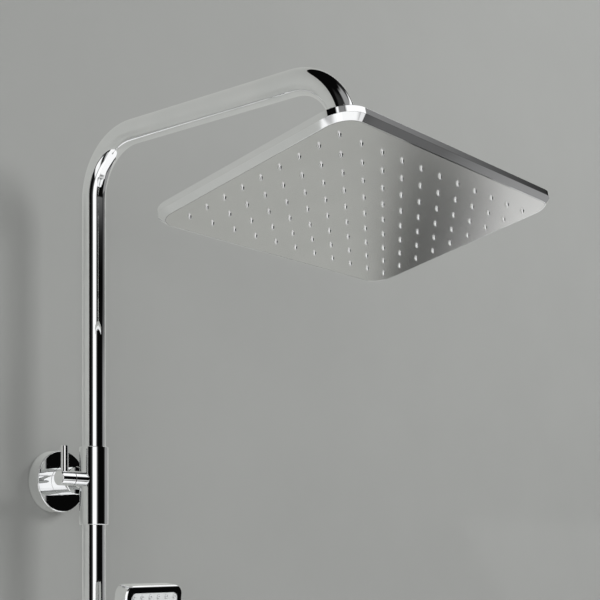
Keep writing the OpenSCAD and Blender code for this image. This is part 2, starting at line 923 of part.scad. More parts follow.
// Slider
module slider_bush() {
    color("ivory") at_riser(slider_z)
        sleeve_z(bush_r, socket_r, -slider_h / 2 - bush_over, slider_h / 2 + bush_over);
}

// Both ears of the fork that carries the holder
module fork_ears() {
    for (side = [-1, 1]) translate([side * (ear_gap + ear_half) / 2, 0, 0]) {
        translate([0, pivot_y, slider_z]) rod_x(ear_r, (ear_gap - ear_half) / 2, (ear_half - ear_gap) / 2);
        translate([(ear_gap - ear_half) / 2, pivot_y, slider_z - ear_r])
            cube([ear_half - ear_gap, pivot_reach - ear_root_r, 2 * ear_r]);
    }
}

module slider_body() {
    color("silver") difference() {
        union() {
            at_riser(slider_z) turned_z(slider_r, -slider_h / 2, cap_split);
            fork_ears();
        }
        at_riser(slider_z) {
            rod_z(slider_bore_r, -slider_h / 2 - past, cap_split + past);
            rod_z(pocket_r, -brake_t / 2 - face_gap, cap_split + past);
            rod_x(button_stem_r + face_gap, 0, slider_r + past);
        }
        translate([0, pivot_y, slider_z]) rod_x(pivot_r + fit, -ear_half - past, ear_half + past);
    }
}

module slider_cap() {
    color("silver") at_riser(slider_z) difference() {
        union() {
            turned_z(slider_r, cap_split + fit, slider_h / 2);
            rod_z(pocket_r - fit, brake_t / 2 + face_gap, cap_split + past);
        }
        rod_z(slider_bore_r, 0, slider_h / 2 + past);
        rod_x(button_stem_r + face_gap, slider_bore_r - past, slider_r + past);
    }
}

module brake_ring() {
    color("lightgray") at_riser(slider_z) translate([brake_play, 0, 0]) difference() {
        union() {
            rod_z(brake_r, -brake_t / 2, brake_t / 2);
            rod_x(brake_t / 2, brake_hole_r + past, button_x0 - brake_play + button_t / 2);
        }
        rod_z(brake_hole_r, -brake_t, brake_t);
    }
}

module lock_button() {
    color("silver") at_riser(slider_z) difference() {
        translate([button_x0, 0, 0]) rotate([0, 90, 0]) turned_z(button_r, 0, button_t);
        rod_x(spring_r + fit, button_x0 - past, button_x0 + button_t - button_wall);
        rod_x(brake_t / 2 + fit, button_x0, button_x0 + button_t / 2 + fit);
    }
}

module button_spring() {
    color("lightgray") at_riser(slider_z) rotate([0, 90, 0])
        sleeve_z(spring_r, spring_r - spring_wall, slider_r, button_x0 + button_t - button_wall - fit);
}

module pivot_screw() {
    color("lightgray") translate([0, pivot_y, slider_z]) difference() {
        union() {
            rod_x(pivot_r, -ear_half, ear_half);
            rod_x(pivot_head_r, ear_half, ear_half + pivot_head_t);
        }
        translate([ear_half, 0, 0]) rotate([0, 90, 0])
            cylinder(r = pivot_r / 2, h = pivot_head_t + past, $fn = 6);
    }
}

// Holder: a conical seat with a slot for the hose and a lug between the ears
module holder_cone() {
    color("silver") difference() {
        union() {
            hand_frame() turned_z(cone_r, -cone_h / 2, cone_h / 2);
            translate([0, pivot_y, slider_z]) rod_x(ear_r, face_gap - ear_gap, ear_gap - face_gap);
            translate([face_gap - ear_gap, cone_y, slider_z - ear_r])
                cube([2 * (ear_gap - face_gap), cone_reach, 2 * ear_r]);
        }
        hand_frame() {
            translate([0, 0, -cone_h / 2 - past])
                cylinder(r1 = seat_radius(-cone_h / 2 - past) + seat_gap,
                    r2 = seat_radius(cone_h / 2 + past) + seat_gap, h = cone_h + 2 * past);
            translate([-hose_slot / 2, -cone_r - past, -cone_h / 2 - past])
                cube([hose_slot, cone_r + past, cone_h + 2 * past]);
        }
        translate([0, pivot_y, slider_z]) rod_x(pivot_r + fit, -ear_half, ear_half);
    }
}

// Hand shower
function seat_radius(d) =
    (seat_top_r + seat_bottom_r) / 2 + (seat_top_r - seat_bottom_r) * d / (2 * seat_half);

module handle() {
    hand_frame() {
        rod_z(thread_r, -hand_thread_end, -handle_end + past);
        rod_z(seat_bottom_r, -handle_end, -seat_half);
        translate([0, 0, -seat_half]) cylinder(r1 = seat_radius(-seat_half), r2 = seat_top_r, h = 2 * seat_half);
        translate([0, 0, seat_half]) cylinder(r1 = seat_top_r, r2 = handle_r, h = seat_half);
        rod_z(handle_r, 2 * seat_half, handle_l - shoulder_l);
    }
}

// Blend from the round handle to the flat head
module shoulder() {
    hand_frame() hull() {
        translate([0, 0, handle_l - shoulder_l - past]) cylinder(r = handle_r - shoulder_inset, h = past, $fn = 32);
        translate([-shoulder_w / 2, -shoulder_t / 2, handle_l + past]) cube([shoulder_w, shoulder_t, hand_corner]);
    }
}

module hand_block() {
    hand_face_frame() {
        rounded_plate(hand_w, hand_h, hand_corner, hand_bevel - hand_t, -hand_bevel);
        translate([0, 0, -hand_t]) bevelled_foot(hand_w, hand_h, hand_corner, hand_bevel);
        mirror([0, 0, 1]) bevelled_foot(hand_w, hand_h, hand_corner, hand_bevel);
    }
}

module hand_pocket(inset, from, to) {
    hand_face_frame() rounded_plate(hand_w - 2 * inset, hand_h - 2 * inset, hand_corner - inset / 2, from, to);
}

module hand_shell() {
    color("silver") difference() {
        union() {
            hand_block();
            shoulder();
            handle();
        }
        hand_pocket(hand_bezel, -hand_face_recess - hand_face_t - hand_sheet_t, past);
        hand_pocket(hand_bezel + 2, hand_floor - hand_t, past);
        hand_frame() {
            rod_z(hand_bore_r + fit, -handle_end, handle_l - hand_corner);
            rod_z(hand_feed_r, -handle_end, handle_l + hand_corner);
            rod_z(inlet_plug_r + fit, -hand_thread_end - past, inlet_plug_l - handle_end + fit);
        }
    }
}

module hand_face() {
    color("whitesmoke") difference() {
        hand_pocket(hand_bezel + fit, -hand_face_recess - hand_face_t, -hand_face_recess);
        hand_face_frame() nozzle_grid(hand_cols, hand_rows, hand_pitch, hand_pitch)
            rod_z(hand_nozzle_r + nozzle_clear, -hand_face_recess - hand_face_t - past, past);
    }
}

module hand_nozzles() {
    color("whitesmoke") difference() {
        union() {
            hand_pocket(hand_bezel + fit, -hand_face_recess - hand_face_t - hand_sheet_t,
                -hand_face_recess - hand_face_t);
            hand_face_frame() nozzle_grid(hand_cols, hand_rows, hand_pitch, hand_pitch)
                rod_z(hand_nozzle_r, -hand_face_recess - hand_face_t - hand_sheet_t / 2,
                    hand_nozzle_h - hand_face_recess);
        }
        hand_face_frame() nozzle_grid(hand_cols, hand_rows, hand_pitch, hand_pitch)
            rod_z(hand_nozzle_bore_r, -hand_t, hand_t);
    }
}

module hand_flow_tube() {
    color("ivory") hand_frame()
        sleeve_z(hand_bore_r, hand_bore_r - tube_wall, inlet_plug_l - handle_end + 2 * fit, handle_l - shoulder_l);
}

module hand_inlet() {
    color("goldenrod") hand_frame() difference() {
        rod_z(inlet_plug_r, -hand_thread_end, inlet_plug_l - handle_end);
        rod_z(inlet_bore_r, -hand_thread_end - past, inlet_plug_l - handle_end + past);
    }
}

module hand_filter() {
    color("dimgray") hand_frame()
        sleeve_z(inlet_bore_r - fit, inlet_bore_r / 2, filter_d, filter_d + filter_t);
}

inlet_nipple();
nipple_washer();
wall_rosette();
rosette_seal();
inlet_stem();
stem_o_ring();
stem_grub_screw();
diverter_body();
cartridge_sleeve();
cartridge_seals();
cartridge_clip();
tube_seals();
arm_thrust_washer();
tube_grub_screws();
lower_riser();
outlet_body();
outlet_tube_seal();
outlet_grub_screws();
check_valve();
lower_stem();
lower_rosette();
lower_rosette_seal();
hanger_bolt();
wall_plug();
overhead_arm();
arm_end_fitting();
ball_connector();
strainer_washer();
flow_limiter();
ball_seat();
ball_seal();
socket_housing();
socket_ring();
housing_seal();
housing_nut();
head_shell();
head_gasket();
nozzle_plate();
face_plate();
head_screws();
diverter_knob();
diverter_pin();
diverter_spindle();
spindle_seals();
knob_grub_screw();
slider_bush();
slider_body();
slider_cap();
brake_ring();
lock_button();
button_spring();
pivot_screw();
holder_cone();
hand_shell();
hand_face();
hand_nozzles();
hand_flow_tube();
hand_inlet();
hand_filter();
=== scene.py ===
"""Looks of a wall-mounted shower column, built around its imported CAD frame."""
import json
import math

import bpy
from mathutils import Matrix, Vector


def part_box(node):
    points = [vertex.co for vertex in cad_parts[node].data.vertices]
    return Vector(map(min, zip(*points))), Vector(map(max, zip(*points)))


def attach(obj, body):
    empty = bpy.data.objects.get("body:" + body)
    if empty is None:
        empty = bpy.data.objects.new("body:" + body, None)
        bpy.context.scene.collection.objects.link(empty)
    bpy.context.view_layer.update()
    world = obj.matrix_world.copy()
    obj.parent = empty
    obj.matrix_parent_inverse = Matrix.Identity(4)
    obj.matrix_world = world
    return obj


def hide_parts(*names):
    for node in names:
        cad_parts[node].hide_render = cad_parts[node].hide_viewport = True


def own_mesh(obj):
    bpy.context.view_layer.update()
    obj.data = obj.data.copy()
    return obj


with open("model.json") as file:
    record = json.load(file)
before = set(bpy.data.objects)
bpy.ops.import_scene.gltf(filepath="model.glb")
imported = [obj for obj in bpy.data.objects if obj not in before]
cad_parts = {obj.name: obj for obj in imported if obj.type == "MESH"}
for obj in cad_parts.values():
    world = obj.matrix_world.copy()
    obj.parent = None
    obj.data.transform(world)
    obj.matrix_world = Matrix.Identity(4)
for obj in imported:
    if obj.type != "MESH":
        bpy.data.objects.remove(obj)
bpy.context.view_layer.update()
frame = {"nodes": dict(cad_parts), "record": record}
nodes = frame["nodes"]

MM = 0.001
TAU = 2 * math.pi

# Camera, worked out from how the photograph shows the nozzle grid and the tubes
CAMERA_AT = (-0.8173, -0.9806, -0.0689)
CAMERA_TURN = math.radians(-50.77)
CAMERA_LENS = 76.56
CAMERA_SHIFT = 0.42

# Sizes of the part, in millimetres, as in the frame
RISER_Y = -60
TUBE_R, TUBE_BORE_R = 11, 9.5
BEND_R, END_BEND_R = 54, 54
ARM_Z, ARM_RUN = 320.4, 246
ARM_END, TUBE_END_T, BALL_T = 28.6, 46, 14
END_TILT = math.radians(15.5)
HEAD_TILT = math.radians(12.84)
HEAD_W, HEAD_D, HEAD_T = 294, 194, 9
HEAD_CORNER, CHAMFER, LIP = 22, 4.1, 0.7
FACE_T, SHEET_T, GASKET_T, GASKET_W = 1.5, 1.2, 1.2, 6
SHELL_TOP, SPIGOT_HOLE_R, PLATE_GAP = 1.5, 10.05, 0.2
NOZZLE_COLS, NOZZLE_ROWS, NOZZLE_PITCH_W, NOZZLE_PITCH_D = 11, 9, 25.1, 18.2
NOZZLE_R, NOZZLE_TIP_R, NOZZLE_BORE_R, NOZZLE_H = 1.7, 0.95, 0.5, 2.2
BRACKET_Z = -600
SLIDER_Z = -292
PIVOT_Y, CONE_Y = -87, -111.5
HAND_LEAN = math.radians(7.2)
HAND_W, HAND_H, HAND_T, HAND_CORNER, BEZEL = 71, 102, 16, 9, 6.6
HAND_EDGE, HAND_RECESS = 1.3, 3.5
HANDLE_R, HANDLE_L, SHOULDER_L = 11.5, 93, 26
HAND_COLS, HAND_ROWS, HAND_PITCH = 6, 9, 10.2

UP = Vector((0, math.sin(HEAD_TILT), math.cos(HEAD_TILT)))
END_UP = Vector((0, math.sin(END_TILT), math.cos(END_TILT)))


def stand_on(origin, z_axis):
    """Matrix in metres of a local frame at origin (mm), with its Z along z_axis and its X towards world X."""
    z = Vector(z_axis).normalized()
    x = Vector((1, 0, 0))
    x = (x - z * x.dot(z)).normalized()
    y = z.cross(x)
    turn = Matrix((x, y, z)).transposed().to_4x4()
    return Matrix.Translation(Vector(origin) * MM) @ turn @ Matrix.Scale(MM, 4)


def arm_points():
    """Centreline of the arm in millimetres: (point, tangent) from the riser's socket to the head."""
    rise = (15.1, 40, 90, 150, 210, 250)
    run = (0.15, 0.3, 0.45, 0.6, 0.75, 0.9)
    drop = (0.35, 0.7, 1)
    bend_steps = 40
    points = []

    def add(y, z, ty, tz):
        points.append((Vector((0, y, z)), Vector((0, ty, tz))))

    def bend(y, z, radius, start, turn):
        for i in range(bend_steps + 1):
            a = start + turn * i / bend_steps
            add(y + radius * math.cos(a), z + radius * math.sin(a), -math.sin(a), math.cos(a))

    for z in rise:
        add(RISER_Y, z, 0, 1)
    bend(RISER_Y - BEND_R, ARM_Z - BEND_R, BEND_R, 0, math.pi / 2)
    for share in run:
        add(RISER_Y - BEND_R - (ARM_RUN - BEND_R) * share, ARM_Z, -1, 0)
    bend(RISER_Y - ARM_RUN, ARM_Z - END_BEND_R, END_BEND_R, math.pi / 2, math.pi / 2 - END_TILT)
    last = points[-1][0]
    for share in drop:
        points.append((last - END_UP * ARM_END * share, -END_UP))
    return points


ARM = arm_points()
ARM_TIP = ARM[-1][0]
HEAD_TOP = ARM_TIP - END_UP * (TUBE_END_T - BALL_T) - UP * BALL_T
HEAD = stand_on(HEAD_TOP, UP)
HAND_UP = Vector((0, -math.sin(HAND_LEAN), math.cos(HAND_LEAN)))
HAND = stand_on((0, CONE_Y, SLIDER_Z), HAND_UP)
HAND_FACE = (
    HAND
    @ Matrix.Translation((0, -HAND_T / 2, HANDLE_L + HAND_H / 2))
    @ Matrix.Rotation(math.pi / 2, 4, "X")
)


# Mesh helpers
def add_piece(name, verts, faces, place, body, stands_for, slot, material, angle=35):
    """A new mesh piece, given in millimetres of a local frame, riding on a body."""
    mesh = bpy.data.meshes.new(name)
    mesh.from_pydata([place @ Vector(v) for v in verts], [], faces)
    mesh.validate()
    mesh.shade_smooth()
    mesh.set_sharp_from_angle(angle=math.radians(angle))
    piece = bpy.data.objects.new(name, mesh)
    bpy.context.scene.collection.objects.link(piece)
    normals = piece.modifiers.new("even_normals", "WEIGHTED_NORMAL")
    normals.keep_sharp = True
    mesh.materials.append(material)
    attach(piece, body)
    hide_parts(*stands_for)
    return piece


def fillet(outline, steps):
    """Closed outline of (x, y, radius) points with each corner rounded by its radius."""
    out = []
    count = len(outline)
    for i, (x, y, r) in enumerate(outline):
        here = Vector((x, y))
        before = Vector(outline[i - 1][:2]) - here
        after = Vector(outline[(i + 1) % count][:2]) - here
        if r <= 0 or before.length < 1e-9 or after.length < 1e-9:
            out.append((x, y))
            continue
        a, b = before.normalized(), after.normalized()
        half = a.angle(b) / 2
        reach = min(r / math.tan(half), 0.49 * before.length, 0.49 * after.length)
        radius = reach * math.tan(half)
        middle = here + (a + b).normalized() * radius / math.sin(half)
        start, end = here + a * reach - middle, here + b * reach - middle
        sweep = start.angle_signed(end)
        for k in range(steps + 1):
            t = -sweep * k / steps
            c, s = math.cos(t), math.sin(t)
            out.append((middle.x + start.x * c - start.y * s, middle.y + start.x * s + start.y * c))
    return out


def revolve(outline, segments):
    """Verts and faces of a closed outline of (radius, height) turned about Z; radius 0 makes a pole."""
    verts, faces, rings = [], [], []
    for r, z in outline:
        if r < 1e-6:
            rings.append([len(verts)])
            verts.append((0, 0, z))
        else:
            rings.append(list(range(len(verts), len(verts) + segments)))
            turns = [TAU * k / segments for k in range(segments)]
            verts += [(r * math.cos(a), r * math.sin(a), z) for a in turns]
    count = len(rings)
    for i in range(count):
        a, b = rings[i], rings[(i + 1) % count]
        if len(a) == 1 and len(b) == 1:
            continue
        for k in range(segments):
            n = (k + 1) % segments
            if len(a) == 1:
                faces.append((a[0], b[n], b[k]))
            elif len(b) == 1:
                faces.append((a[k], a[n], b[0]))
            else:
                faces.append((a[k], a[n], b[n], b[k]))
    return verts, faces


def join_parts(parts):
    """One verts and faces pair out of several."""
    verts, faces = [], []
    for v, f in parts:
        start = len(verts)
        verts += v
        faces += [tuple(start + i for i in face) for face in f]
    return verts, faces


def moved(part, offset):
    """A verts and faces pair, shifted."""
    v, f = part
    return [tuple(a + b for a, b in zip(p, offset)) for p in v], f


def grid(part, cols, rows, pitch_x, pitch_y):
    """Copies of a part on a grid about the middle."""
    return [
        moved(part, ((i - (cols - 1) / 2) * pitch_x, (j - (rows - 1) / 2) * pitch_y, 0))
        for i in range(cols) for j in range(rows)
    ]


def rounded_loop(w, d, r, z, steps=12, flat=0):
    """Points of a rounded rectangle at height z, from the +X +Y corner; flat=1 bevels its corners instead."""
    r = min(r, w / 2, d / 2)
    points = []
    for cx, cy, start in ((1, 1, 0), (-1, 1, 1), (-1, -1, 2), (1, -1, 3)):
        first, last = math.pi / 2 * start, math.pi / 2 * (start + 1)
        for k in range(steps + 1):
            a = first + (last - first) * k / steps
            round_x, round_y = math.cos(a), math.sin(a)
            flat_x = math.cos(first) + (math.cos(last) - math.cos(first)) * k / steps
            flat_y = math.sin(first) + (math.sin(last) - math.sin(first)) * k / steps
            x, y = round_x + (flat_x - round_x) * flat, round_y + (flat_y - round_y) * flat
            points.append((cx * (w / 2 - r) + r * x, cy * (d / 2 - r) + r * y, z))
    return points


def skin(loops, closed=False, caps=True):
    """Quads between loops of the same length."""
    verts, faces = [], []
    size = len(loops[0])
    for loop in loops:
        verts += loop
    last = len(loops) if closed else len(loops) - 1
    for i in range(last):
        a, b = i * size, ((i + 1) % len(loops)) * size
        for k in range(size):
            n = (k + 1) % size
            faces.append((a + k, a + n, b + n, b + k))
    if caps and not closed:
        faces.append(tuple(reversed(range(size))))
        faces.append(tuple(range((len(loops) - 1) * size, len(loops) * size)))
    return verts, faces


# Materials
NOISE_ROUGHNESS = 0.55
METAL_CLOUD, PLASTIC_CLOUD, WALL_CLOUD = 25, 60, 6


def new_material(name):
    made = bpy.data.materials.new(name)
    made.use_nodes = True
    tree = made.node_tree
    tree.nodes.clear()
    output = tree.nodes.new("ShaderNodeOutputMaterial")
    shader = tree.nodes.new("ShaderNodeBsdfPrincipled")
    tree.links.new(shader.outputs["BSDF"], output.inputs["Surface"])
    return made, tree, shader


def noise(tree, scale, detail):
    """Noise in object coordinates, in metres."""
    where = tree.nodes.new("ShaderNodeTexCoord")
    made = tree.nodes.new("ShaderNodeTexNoise")
    made.inputs["Scale"].default_value = scale
    made.inputs["Detail"].default_value = detail
    made.inputs["Roughness"].default_value = NOISE_ROUGHNESS
    tree.links.new(where.outputs["Object"], made.inputs["Vector"])
    return made.outputs["Fac"]


def spread(tree, value, low, high, start=0.3, end=0.7):
    """A value mapped to a narrow range."""
    made = tree.nodes.new("ShaderNodeMapRange")
    made.inputs["From Min"].default_value = start
    made.inputs["From Max"].default_value = end
    made.inputs["To Min"].default_value = low
    made.inputs["To Max"].default_value = high
    tree.links.new(value, made.inputs["Value"])
    return made.outputs["Result"]


def tint(tree, value, low, high, start=0.3, end=0.7):
    """A colour that runs from low to high with a value."""
    made = tree.nodes.new("ShaderNodeMix")
    made.data_type = "RGBA"
    made.inputs["A"].default_value = (*low, 1)
    made.inputs["B"].default_value = (*high, 1)
    tree.links.new(spread(tree, value, 0, 1, start, end), made.inputs["Factor"])
    return made.outputs["Result"]


def bump(tree, value, depth):
    """A bump normal from a height value, depth in metres."""
    made = tree.nodes.new("ShaderNodeBump")
    made.inputs["Strength"].default_value = 1
    made.inputs["Distance"].default_value = depth
    tree.links.new(value, made.inputs["Height"])
    return made.outputs["Normal"]


def metal(name, dark, light, rough, grain, depth=0.0):
    """Metal with faint cloudy tone, a range of roughness and an optional grain."""
    made, tree, shader = new_material(name)
    shader.inputs["Metallic"].default_value = 1
    cloud = noise(tree, METAL_CLOUD, detail=3)
    tree.links.new(tint(tree, cloud, dark, light), shader.inputs["Base Color"])
    fine = noise(tree, grain, detail=3)
    tree.links.new(spread(tree, fine, rough[0], rough[1]), shader.inputs["Roughness"])
    if depth:
        tree.links.new(bump(tree, fine, depth), shader.inputs["Normal"])
    return made


def plastic(name, dark, light, rough, coat=0.0, grain=900, depth=0.00002):
    """Moulded plastic or rubber with a fine grain."""
    made, tree, shader = new_material(name)
    shader.inputs["Coat Weight"].default_value = coat
    shader.inputs["Coat Roughness"].default_value = 0.08
    cloud = noise(tree, PLASTIC_CLOUD, detail=3)
    tree.links.new(tint(tree, cloud, dark, light), shader.inputs["Base Color"])
    fine = noise(tree, grain, detail=2)
    tree.links.new(spread(tree, fine, rough[0], rough[1]), shader.inputs["Roughness"])
    tree.links.new(bump(tree, fine, depth), shader.inputs["Normal"])
    return made


# Each as (darkest colour, lightest colour, range of roughness), with depths in metres
CHROME = metal("chrome", (0.83, 0.84, 0.845), (0.87, 0.875, 0.88), (0.015, 0.045), grain=120)
SATIN = metal("satin_face", (0.64, 0.64, 0.63), (0.67, 0.67, 0.66), (0.2, 0.24), grain=1500, depth=0.000004)
BRIGHT = metal("nozzle_metal", (0.9, 0.9, 0.91), (0.94, 0.94, 0.94), (0.01, 0.03), grain=900)
BRASS = metal("brass", (0.62, 0.45, 0.2), (0.75, 0.57, 0.28), (0.18, 0.34), grain=700, depth=0.00001)
STEEL = metal("steel", (0.5, 0.5, 0.51), (0.62, 0.62, 0.63), (0.2, 0.38), grain=900, depth=0.00001)
RUBBER = plastic("rubber", (0.02, 0.02, 0.02), (0.035, 0.035, 0.035), (0.5, 0.7))
FOAM = plastic(
    "foam", (0.16, 0.165, 0.17), (0.24, 0.245, 0.25), (0.8, 0.95), grain=1600, depth=0.0004,
)
IVORY = plastic("ivory_plastic", (0.74, 0.72, 0.64), (0.8, 0.78, 0.71), (0.35, 0.5))
GREY = plastic("grey_plastic", (0.2, 0.205, 0.21), (0.26, 0.265, 0.27), (0.4, 0.55))
FACE = plastic(
    "light_grey_face", (0.76, 0.775, 0.78), (0.81, 0.825, 0.83), (0.3, 0.42), coat=0.35, grain=1400,
)
SLOTS = {
    "chrome": CHROME, "satin_face": SATIN, "nozzle_metal": BRIGHT, "brass": BRASS, "steel": STEEL,
    "rubber": RUBBER, "foam": FOAM, "ivory_plastic": IVORY, "grey_plastic": GREY, "light_grey_face": FACE,
}
for entry in frame["record"]["subparts"]:
    carried = nodes[entry["node"]]
    carried.data.materials.clear()
    carried.data.materials.append(SLOTS[entry["material_slot"]])


# Arm: one swept tube with its bore
def swept_tube(points, outer, inner, edge=0.4, segments=96):
    """Verts and faces of a hollow tube along the points, with its rims bevelled."""
    loops = []
    turns = [TAU * k / segments for k in range(segments)]

    def ring(point, tangent, r):
        side = Vector((1, 0, 0))
        across = tangent.cross(side)
        loops.append([tuple(point + side * (r * math.cos(a)) + across * (r * math.sin(a))) for a in turns])

    def end(point, tangent, inwards, order):
        for r, step in order:
            ring(point + tangent * (step * inwards), tangent, r)

    first, last = points[0], points[-1]
    rim = ((inner, edge), (inner + edge, 0), (outer - edge, 0), (outer - edge / 3, edge / 3), (outer, edge))
    end(*first, 1, rim)
    for point, tangent in points[1:-1]:
        ring(point, tangent, outer)
    end(*last, -1, tuple(reversed(rim)))
    for point, tangent in reversed(points[1:-1]):
        ring(point, tangent, inner)
    verts, faces = skin(loops, closed=True)
    return verts, [tuple(reversed(f)) for f in faces]


MILLIMETRES = Matrix.Scale(MM, 4)
arm_mesh = swept_tube(ARM, TUBE_R, TUBE_BORE_R)
add_piece("arm_tube", *arm_mesh, MILLIMETRES, "arm", ("overhead_arm",), "chrome", CHROME)


# Overhead shower: a shell of rounded loops, from the cavity over the rim to the top
def head_shell_mesh():
    ledge = HEAD_T - FACE_T - SHEET_T - GASKET_T
    opening = CHAMFER + LIP
    # Outline of (inset from the outer edge, height, corner rounding), with ends far inside for the fillets
    far, least_corner = 110, 3
    outline = [
        (far, -SHELL_TOP, 0),
        (opening + GASKET_W, -SHELL_TOP, 0.8),
        (opening + GASKET_W, -ledge, 0.3),
        (opening, -ledge, 0.2),
        (opening, -HEAD_T, 0.15),
        (CHAMFER, -HEAD_T, 0.3),
        (0, -HEAD_T + CHAMFER, 0.3),
        (0, 0, 0.5),
        (far, 0, 0),
    ]
    loops = [
        rounded_loop(HEAD_W - 2 * inset, HEAD_D - 2 * inset, max(HEAD_CORNER - inset, least_corner), z)
        for inset, z in fillet(outline, steps=4)[1:-1]
    ]
    verts, faces = skin(loops, caps=False)
    size = len(loops[0])
    # Top and cavity ceiling close on the round hole of the spigot
    shares = (0.35, 0.7, 1)
    for loop_index, z, flip in ((0, -SHELL_TOP, True), (len(loops) - 1, 0, False)):
        start = len(verts)
        for share in shares:
            for k in range(size):
                x, y, _ = loops[loop_index][k]
                a = math.atan2(y, x)
                verts.append((
                    x + (SPIGOT_HOLE_R * math.cos(a) - x) * share,
                    y + (SPIGOT_HOLE_R * math.sin(a) - y) * share, z,
                ))
        base = loop_index * size
        for ring in range(len(shares)):
            a = base if ring == 0 else start + (ring - 1) * size
            b = start + ring * size
            for k in range(size):
                n = (k + 1) % size
                quad = (a + k, a + n, b + n, b + k)
                faces.append(tuple(reversed(quad)) if flip else quad)
    # Wall of that hole, between the innermost rings
    low, high = len(verts) - (len(shares) + 1) * size, len(verts) - size
    for k in range(size):
        n = (k + 1) % size
        faces.append((low + k, high + k, high + n, low + n))
    return verts, faces


shell_mesh = head_shell_mesh()
add_piece(
    "head_shell_polished", *shell_mesh, HEAD, "overhead_shower", ("head_shell",), "chrome", CHROME, angle=20,
)


# Nozzle plate with one turned tip for each hole of the face
def head_nozzles_mesh():
    inset = CHAMFER + LIP + PLATE_GAP
    sheet_z, rounding = FACE_T - HEAD_T, 0.1
    plate = skin([
        rounded_loop(HEAD_W - 2 * inset, HEAD_D - 2 * inset, HEAD_CORNER - inset, z)
        for z in (sheet_z, sheet_z + SHEET_T)
    ])
    root_z, tip_z = sheet_z + SHEET_T / 2, -HEAD_T - NOZZLE_H
    tip = revolve(fillet([
        (NOZZLE_BORE_R, root_z, 0),
        (NOZZLE_BORE_R, tip_z, rounding),
        (NOZZLE_TIP_R, tip_z, rounding),
        (NOZZLE_R, -HEAD_T, rounding),
        (NOZZLE_R, root_z, 0),
    ], steps=4), segments=32)
    return join_parts([plate] + grid(tip, NOZZLE_COLS, NOZZLE_ROWS, NOZZLE_PITCH_W, NOZZLE_PITCH_D))


tips_mesh = head_nozzles_mesh()
add_piece(
    "head_nozzles", *tips_mesh, HEAD, "overhead_shower", ("nozzle_plate",), "nozzle_metal", BRIGHT, angle=30,
)


# Wall rosettes with a rounded rim
def rosette_mesh():
    r, t, wall, hole = 30, 14, 1.5, 13.55
    return revolve(fillet([
        (r - wall, 0, 0),
        (r, 0, 0.2),
        (r, t, 1.1),
        (hole, t, 0.2),
        (hole, t - wall, 0),
        (r - wall, t - wall, 0),
    ], steps=6), segments=160)


for name, node, z in (("rosette_upper", "wall_rosette", 0), ("rosette_lower", "lower_rosette", BRACKET_Z)):
    add_piece(name, *rosette_mesh(), stand_on((0, 0, z), (0, -1, 0)), "wall_set", (node,), "chrome", CHROME)


# Hand shower: one loft from the thread's shoulder to the top of the head
def hand_loops():
    """Cross-sections as (distance up the handle, half width, half depth, corner size, bevel share)."""
    seat = ((-22, 10.2), (-21.4, 10.8), (-14, 10.8), (0, 11.4), (14, 12), (28, HANDLE_R), (45, HANDLE_R))
    sections = [(d, r, r, r, 0) for d, r in seat]
    start, top = HANDLE_L - SHOULDER_L, HANDLE_L + HAND_H
    neck = HAND_W / 2 - HAND_CORNER
    shoulder_steps, lower_steps, upper_steps = 14, 10, 18
    straight, flare = 0.25, 2.4
    for i in range(shoulder_steps + 1):
        t = i / shoulder_steps
        ease = t * t * (3 - 2 * t)
        half_w = HANDLE_R + (neck - HANDLE_R) * (straight * t + (1 - straight) * t ** flare)
        half_d = HANDLE_R + (HAND_T / 2 - HANDLE_R) * ease
        corner = HANDLE_R + (HAND_EDGE - HANDLE_R) * ease
        sections.append((start + SHOULDER_L * t, half_w, half_d, corner, ease))
    for i in range(1, lower_steps + 1):
        a = math.pi / 2 * i / lower_steps
        half_w = neck + HAND_CORNER * math.sin(a)
        sections.append((HANDLE_L + HAND_CORNER * (1 - math.cos(a)), half_w, HAND_T / 2, HAND_EDGE, 1))
    for d in (HANDLE_L + 30, HANDLE_L + 60, top - HAND_CORNER):
        sections.append((d, HAND_W / 2, HAND_T / 2, HAND_EDGE, 1))
    for i in range(1, upper_steps + 1):
        a = math.pi / 2 * i / upper_steps
        d = top - HAND_CORNER * (1 - math.sin(a))
        into = max(0, d - (top - HAND_EDGE))
        sections.append((d, neck + HAND_CORNER * math.cos(a), HAND_T / 2 - into, HAND_EDGE, 1))
    return [
        rounded_loop(2 * half_w, 2 * half_d, min(corner, half_w, half_d), d, steps=10, flat=flat)
        for d, half_w, half_d, corner, flat in sections
    ]


hand_piece = add_piece(
    "hand_shell_polished", *skin(hand_loops()), HAND, "hand_shower", ("hand_shell",), "chrome", CHROME,
    angle=40,
)


def cut(piece, verts, faces, place):
    """Cuts a closed solid out of a piece."""
    mesh = bpy.data.meshes.new("cutter")
    mesh.from_pydata([place @ Vector(v) for v in verts], [], faces)
    cutter = bpy.data.objects.new("cutter", mesh)
    bpy.context.scene.collection.objects.link(cutter)
    boolean = piece.modifiers.new("cut", "BOOLEAN")
    boolean.object = cutter
    boolean.operation = "DIFFERENCE"
    boolean.solver = "EXACT"
    graph = bpy.context.evaluated_depsgraph_get()
    graph.update()
    shaped = bpy.data.meshes.new_from_object(piece.evaluated_get(graph))
    piece.modifiers.remove(boolean)
    piece.data = shaped
    bpy.data.objects.remove(cutter)


def face_loop(inset, z):
    """Outline within the hand shower's face, at height z over it."""
    return rounded_loop(HAND_W - 2 * inset, HAND_H - 2 * inset, HAND_CORNER - inset / 2, z)


CUT_OVER = 3
cut(hand_piece, *skin([face_loop(BEZEL, -HAND_RECESS), face_loop(BEZEL, CUT_OVER)]), HAND_FACE)


